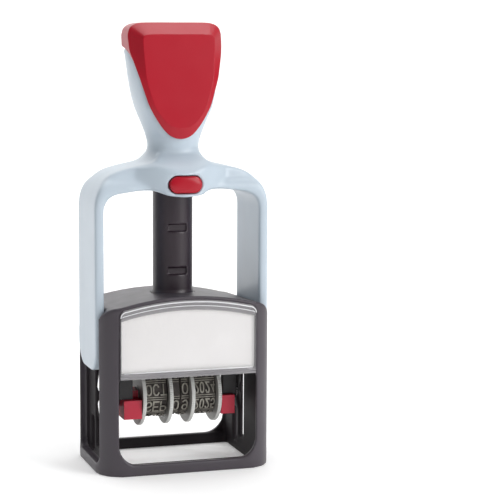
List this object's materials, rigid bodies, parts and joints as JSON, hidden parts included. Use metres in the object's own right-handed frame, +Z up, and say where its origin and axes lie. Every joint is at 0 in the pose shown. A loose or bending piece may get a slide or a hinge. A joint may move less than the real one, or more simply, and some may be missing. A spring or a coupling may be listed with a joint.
{
  "type": "self-inking date stamp",
  "caption": "Upright self-inking date stamp with a sprung T-grip yoke, a turnover carrier with text die and date bands, an index window, a lock button and a slide-out ink cassette.",
  "frame": {"origin": "centre of the footprint, on the table", "axes": "+Z up along the press direction, front with the index window towards -Y, +X to the right seen from the front"},
  "size_m": [0.063, 0.0426, 0.157],
  "materials": {
    "charcoal_plastic": "satin moulded plastic with soft edges",
    "column_plastic": "satin moulded plastic",
    "black_plastic": "plain moulded plastic",
    "clear_plastic": "clear polished plastic",
    "card": "smooth off-white card",
    "handle_plastic": "blue-grey satin plastic",
    "red_plastic": "satin-gloss red plastic",
    "block_plastic": "red moulded plastic",
    "wheel_plastic": "light grey moulded plastic",
    "plate_plastic": "light grey moulded plastic",
    "band_rubber": "moulded grey rubber with raised characters",
    "die_rubber": "laser-cut rubber",
    "steel": "bright drawn wire and rod",
    "blue_ink_pad": "ink-soaked felt",
    "red_ink_pad": "ink-soaked felt"
  },
  "bodies": {
    "base": {"base_frame": "charcoal_plastic", "top_cover": "charcoal_plastic", "spring_column": "column_plastic", "index_window": "clear_plastic", "index_card": "card", "return_spring": "steel"},
    "handle": {"handle_yoke": "handle_plastic", "grip_cap": "red_plastic", "spring_rod": "steel", "carrier_pivot_pins": "steel", "button_springs": "steel"},
    "lock": {"lock_button": "red_plastic"},
    "carrier": {"turnover_carrier": "black_plastic", "text_plate": "plate_plastic", "text_die": "die_rubber", "band_bridge": "black_plastic", "wheel_axle": "steel", "axle_clips": "steel", "axle_block_left": "block_plastic", "axle_block_right": "block_plastic", "cam_pins": "steel", "month_band": "band_rubber", "day_tens_band": "band_rubber", "day_units_band": "band_rubber", "year_band": "band_rubber"},
    "month": {"month_wheel": "wheel_plastic"},
    "day_tens": {"day_tens_wheel": "wheel_plastic"},
    "day_units": {"day_units_wheel": "wheel_plastic"},
    "year": {"year_wheel": "wheel_plastic"},
    "cassette": {"ink_cassette": "black_plastic", "text_pad": "blue_ink_pad", "date_pad": "red_ink_pad"}
  },
  "joints": [
    {"name": "press", "type": "slide", "parent": "base", "child": "handle", "axis": [0, 0, -1], "range_m": [0, 0.0315], "stiffness_N_per_m": 300, "springref_m": -0.01, "deforming": ["return_spring"]},
    {"name": "flip", "type": "hinge", "parent": "handle", "child": "carrier", "pos_m": [0, 0, 0.04], "axis": [1, 0, 0], "range_deg": [0, 180]},
    {"name": "lock_push", "type": "slide", "parent": "handle", "child": "lock", "axis": [0, 1, 0], "range_m": [0, 0.002], "stiffness_N_per_m": 200, "springref_m": -0.003, "deforming": ["button_springs"]},
    {"name": "cassette_slide", "type": "slide", "parent": "base", "child": "cassette", "axis": [0, 1, 0], "range_m": [0, 0.045]},
    {"name": "month_turn", "type": "hinge", "parent": "carrier", "child": "month", "pos_m": [0, 0, 0.0245], "axis": [1, 0, 0], "continuous": true},
    {"name": "day_tens_turn", "type": "hinge", "parent": "carrier", "child": "day_tens", "pos_m": [0, 0, 0.0245], "axis": [1, 0, 0], "continuous": true},
    {"name": "day_units_turn", "type": "hinge", "parent": "carrier", "child": "day_units", "pos_m": [0, 0, 0.0245], "axis": [1, 0, 0], "continuous": true},
    {"name": "year_turn", "type": "hinge", "parent": "carrier", "child": "year", "pos_m": [0, 0, 0.0245], "axis": [1, 0, 0], "continuous": true}
  ],
  "couplings": [
    {"joint": "flip", "follows": "press", "rad_per_m": 99.733}
  ]
}
